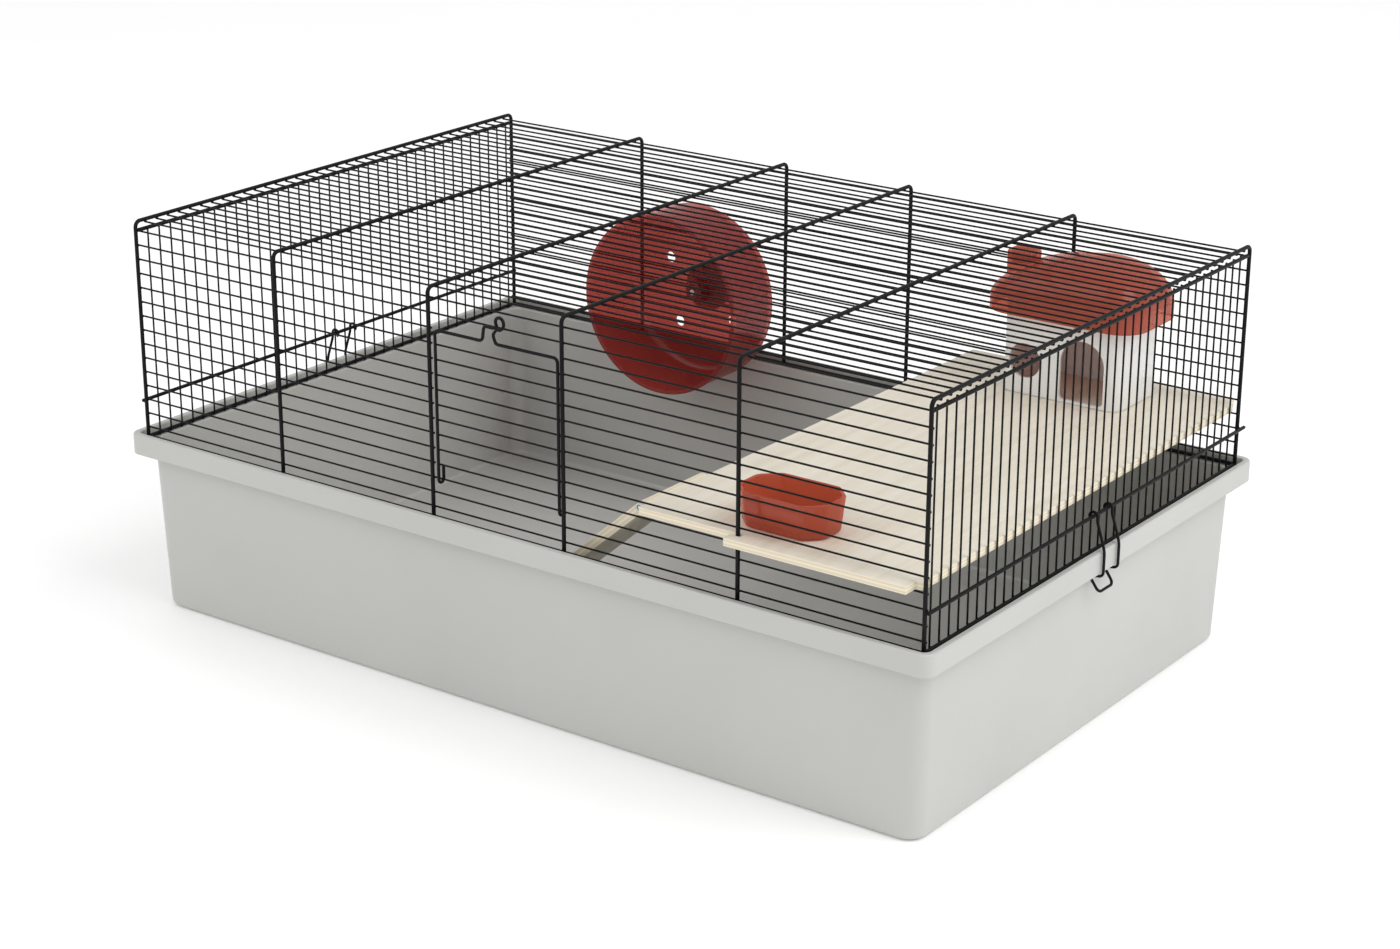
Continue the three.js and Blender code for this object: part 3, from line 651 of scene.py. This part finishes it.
plank_shape, plank_place = ramp()
plank = boarded(loose("ramp", plank_shape, 30), plank_place.reshape(-1, 3) * [1, 1, 0.83])
fit(plank, PLY, "ramp", "plywood", "ramp_board")


def rod(radius, centre, low, high, soften=0.5, sides=32):
    """A round rod along Y with softened ends."""
    profile = eased([(0.02, low), (radius, low), (radius, high), (0.02, high)], soften, 5)
    return turned(profile, centre, sides)


piece(
    "ramp_pin_rod",
    Shape().add(rod(1.2, PIN, RAMP_Y[0] - 3.5, RAMP_Y[1] + 3.5)),
    STEEL, "wire_top", "steel", "ramp_pin",
)


def eye(low):
    """A strap that wraps the pin and runs back under the shelf, with a screw through it."""
    wrap = circle(PIN[0], PIN[1], 1.95, 0, 262, 24)
    flat = np.concatenate([wrap, [(PIN[0] + 2.2, 153.35), (115.6, 153.35)]])
    path = xyz(flat[:, 0], low + 1.45, flat[:, 1])
    section = eased([(-1.4, -0.45), (1.4, -0.45), (1.4, 0.45), (-1.4, 0.45)], 0.2, 3, loop=True)
    s = Shape().add(carried(path, section, (0, 1, 0)))
    head = eased([(0.02, 152.1), (1.2, 152.2), (1.5, 152.7), (1.3, 153.2), (0.02, 153.2)], 0.3, 4)
    a = 2 * np.pi * np.arange(20) / 20
    s.add(
        np.stack(
            [110.5 + head[:, :1] * np.cos(a), low + 1.45 + head[:, :1] * np.sin(a),
             head[:, 1:] + 0 * a],
            -1,
        )
    )
    return s


piece("front_eye", eye(RAMP_Y[0] - 3.4), STEEL, "wire_top", "steel", "ramp_eye_front")
piece("rear_eye", eye(RAMP_Y[1] + 0.5), STEEL, "wire_top", "steel", "ramp_eye_rear")


# ---- wheel -----------------------------------------------------------------
AXLE = (-114.0, RIM_Z + 44)


def wheel():
    """The drum's profile turned round the axle, with four holes through its back."""
    front, back, outer, wall = 123.0, 176.0, 63.4, 2.0
    profile = eased(
        [(2.7, back), (30, back), (outer, back), (outer, front + 2.4), (outer + 0.9, front + 2.2),
         (outer + 0.9, front), (outer - wall, front), (outer - wall, back - wall),
         (8, back - wall), (7.4, back - 9), (2.7, back - 9)],
        [2, 7, 1, 0.6, 0.8, 0.6, 6.4, 1.0, 0.8],
        9,
    )
    body = loose("wheel", Shape().add(turned(profile, AXLE, 128), loop_rows=True))
    tools, hole_circle, hole = [], 33, 4
    for k, angle in enumerate(np.radians([55, 145, 235, 325])):
        x, z = AXLE[0] + hole_circle * math.cos(angle), AXLE[1] + hole_circle * math.sin(angle)
        tools.append(loose(f"drill_{k}", Shape().add(rod(hole, (x, z), back - 6, back + 4, 0.1))))
    return carved(body, tools)


fit(wheel(), WHEEL_RED, "wheel", "red_plastic", "wheel_drum")


def washer(outer, bore, low, high, soften=0.8, boss=0.0):
    """A round plate with a bore, its edges softened, and a raised boss on its front."""
    mid = bore + 0.45 * (outer - bore)
    return eased(
        [(bore, low - boss), (mid, low - boss), (mid + boss + 0.01, low), (outer, low),
         (outer, high), (bore, high)],
        [0.3, soften, soften, soften],
        5,
    )


piece("axle", Shape().add(rod(2.2, AXLE, 162.5, 193.2)), STEEL, "wire_top", "steel", "wheel_axle")
piece("axle_cap", Shape().add(turned(washer(7, 2.45, 164.6, 166.5, 0.9, 1.5), AXLE), True),
      WHEEL_RED, "wire_top", "red_plastic", "wheel_cap")
piece("bracket", Shape().add(turned(washer(17, 2.45, 179.0, 185.8, 1.2, 2.3), AXLE), True),
      WHEEL_RED, "wire_top", "red_plastic", "wheel_bracket")
piece("keeper", Shape().add(turned(washer(15, 2.45, 190.4, 192.8, 0.9), AXLE), True),
      WHEEL_RED, "wire_top", "red_plastic", "wheel_keeper")


# ---- house -----------------------------------------------------------------
SHELF_TOP = 159.5


def house():
    """A rounded rectangular tube, with a doorway above a low sill, straight-sided with a
    half-circle head, and a round window, both cut through the front wall."""
    mid, half = (203.0, 151.5), (43.0, 27.5)
    wall, top = 2, RIM_Z + 100
    section = eased(
        [(0, SHELF_TOP), (0, top), (wall, top), (wall, SHELF_TOP)], 0.6, 4, loop=True
    )
    inset, z = section.T
    rows = rounded_ring(half[0] - inset, half[1] - inset, 9 - inset, z, mid, 12)
    body = loose("house", Shape().add(rows, loop_rows=True))
    sill, left, right = SHELF_TOP + 2.0, 203.6, 235.2
    arch = np.concatenate([circle(left + 3, sill + 3, 3, 270, 180, 8),
                           circle(219.4, RIM_Z + 64.5, 15.8, 180, 0, 32),
                           circle(right - 3, sill + 3, 3, 360, 270, 8)])
    window = circle(178, RIM_Z + 60, 11.5, 0, 360, 49)[:-1]
    tools = []
    for k, outline in enumerate((arch, window)):
        y = np.array([118.0, 131.0])[:, None]
        prism = np.stack([outline[:, 0] + 0 * y, y + 0 * outline[:, 0], outline[:, 1] + 0 * y], -1)
        tools.append(loose(f"opening_{k}", Shape().add(prism)))
    return carved(body, tools)


fit(house(), WHITE, "house", "white_plastic", "house_walls")


def roof():
    """A dome on a rounded rectangle: at each step the ring shrinks with a power of the cosine
    while it rises with the sine. Left of the peak the dome is lowered in proportion to the
    distance from it. A chimney block is joined on."""
    mid, hx, hy, eave, skirt, rise = (202.5, 151.0), 55.5, 34.5, 213.0, 221.0, 30.0
    peak, lowered, over = 205, 0.4, 58
    a = np.radians(np.linspace(0, 88.5, 26))
    z = np.concatenate([[eave], skirt + rise * np.sin(a)])
    shrink = np.concatenate([[1.0], np.cos(a) ** 0.62])

    def shell(inset, drop):
        x, y = (hx - inset) * shrink, (hy - inset) * shrink
        radius = np.minimum(x, y) * (0.55 + 0.35 * (1 - shrink))
        rings = rounded_ring(x, y, radius, np.maximum(z - drop, eave), mid, 12)
        above = np.maximum(rings[..., 2] - skirt, 0)
        rings[..., 2] -= above * lowered * np.clip((peak - rings[..., 0]) / over, 0, 1)
        return rings

    outer, inner = shell(0.0, 0.0), shell(2.0, 2.4)
    lip = rounded_ring(hx - 1.0, hy - 1.0, 18.4, eave, mid, 12)
    dome = Shape().add(np.concatenate([inner[::-1], lip, outer]))
    body = loose("roof", dome)
    stack = rounded_ring(
        [9.4, 9.4, 9.4, 8.7, 7.6, 7.1, 7.0], [6.9, 6.9, 6.9, 6.2, 5.1, 4.6, 4.5],
        [2, 2, 2, 1.8, 1.4, 1.2, 1.2],
        [RIM_Z + 104.5, RIM_Z + 112, RIM_Z + 126.4, RIM_Z + 127.4, RIM_Z + 127.4, RIM_Z + 126.6,
         RIM_Z + 117.2],
        (164.0, 143.0), 6,
    )
    return carved(body, [loose("stack", Shape().add(stack))], "UNION")


fit(roof(), ROOF_RED, "roof", "red_plastic", "house_roof")


# ---- bowl ------------------------------------------------------------------
def bowl():
    """A trough: a rectangle with cut corners, eased, that widens as it rises, inside and out."""
    profile = eased(
        [(20, 0.0), (2.4, 0.0), (0, 22), (2.0, 22), (4.0, 3.0), (20, 3.0)],
        [2.4, 0.9, 0.9, 3.0], 6,
    )
    inset = profile[:, :1]
    a, b = 31 - inset, 20.5 - inset
    c = 11 - 0.5 * np.minimum(inset, 9)
    c = np.minimum(c, 0.8 * b)
    xs = np.concatenate([a, a - c, c - a, -a, -a, c - a, a - c, a], 1)
    ys = np.concatenate([b - c, b, b, b - c, c - b, -b, -b, c - b], 1)
    flat = eased(np.stack([xs, ys], -1), 2.6, 5, loop=True)
    level = profile[:, 1, None, None] + SHELF_TOP + 0 * flat[..., :1]
    return Shape().add(np.concatenate([flat + [191, -159.5], level], -1))


piece("bowl", bowl(), BOWL_RED, "bowl", "red_plastic", "food_bowl", sharp=50)


# ---- studio ----------------------------------------------------------------
def floor_material():
    """A plain pale floor with a faint glow of its own, which keeps its shadows soft."""
    f = Finish("studio_floor")
    tone = f.ramp(f.noise(2.0, 2.0), (0.3, (0.93, 0.93, 0.93)), (0.7, (0.95, 0.95, 0.95)))
    body = f.add("BsdfPrincipled", Base_Color=tone, Roughness=0.6)
    body.inputs["Emission Color"].default_value = (1, 1, 1, 1)
    body.inputs["Emission Strength"].default_value = 0.11
    return f.surface(body.outputs["BSDF"])


def facing(side, up, back, place):
    """The matrix of a light or camera from its own three axes and its place."""
    rows = [[*row, p] for row, p in zip(np.stack([side, up, back], 1), place)]
    return Matrix(rows + [[0, 0, 0, 1]])


def studio():
    """The floor, an even pale world, a key light from the right and a fill from the left."""
    size, z = 30.0, -0.0006
    mesh = bpy.data.meshes.new("studio_floor")
    mesh.from_pydata(
        [(-size, -size, z), (size, -size, z), (size, size, z), (-size, size, z)], [], [(0, 1, 2, 3)]
    )
    floor = bpy.data.objects.new("studio_floor", mesh)
    floor.data.materials.append(floor_material())
    bpy.context.scene.collection.objects.link(floor)
    world = bpy.data.worlds.new("studio")
    world.use_nodes = True
    back = world.node_tree.nodes["Background"]
    back.inputs["Color"].default_value = (1.0, 1.0, 1.0, 1)
    back.inputs["Strength"].default_value = 0.82
    bpy.context.scene.world = world
    for name, place, power, width in (
        ("key", (2.1, 0.2, 2.3), 38.0, 2.0),
        ("fill", (-1.6, -2.2, 2.4), 17.0, 2.2),
    ):
        light = bpy.data.lights.new(name, "AREA")
        light.energy, light.size = power, width
        lamp = bpy.data.objects.new(name, light)
        place = np.array(place)
        back_axis = unit(place - np.array([0, 0, 0.12]))
        side = unit(np.cross([0, 0, 1.0], back_axis))
        up = np.cross(back_axis, side)
        lamp.matrix_world = facing(side, up, back_axis, place)
        bpy.context.scene.collection.objects.link(lamp)


def camera():
    """A long lens above the front right corner, tilted down at the cage."""
    yaw, pitch, roll = (math.radians(v) for v in (125.88, -20.12, 0.27))
    flat = math.cos(pitch)
    look = np.array([math.cos(yaw) * flat, math.sin(yaw) * flat, math.sin(pitch)])
    level = np.array([math.sin(yaw), -math.cos(yaw), 0])
    plumb = np.cross(level, look)
    side = math.cos(roll) * level + math.sin(roll) * plumb
    up = math.cos(roll) * plumb - math.sin(roll) * level
    data = bpy.data.cameras.new("camera")
    data.sensor_width, data.lens = 36.0, 74.906
    data.clip_start, data.clip_end = 0.05, 100
    cam = bpy.data.objects.new("camera", data)
    cam.matrix_world = facing(side, up, -look, (1.0519, -1.4382, 0.7545))
    bpy.context.scene.collection.objects.link(cam)
    bpy.context.scene.camera = cam


studio()
camera()
bpy.context.scene.view_settings.view_transform = "Standard"
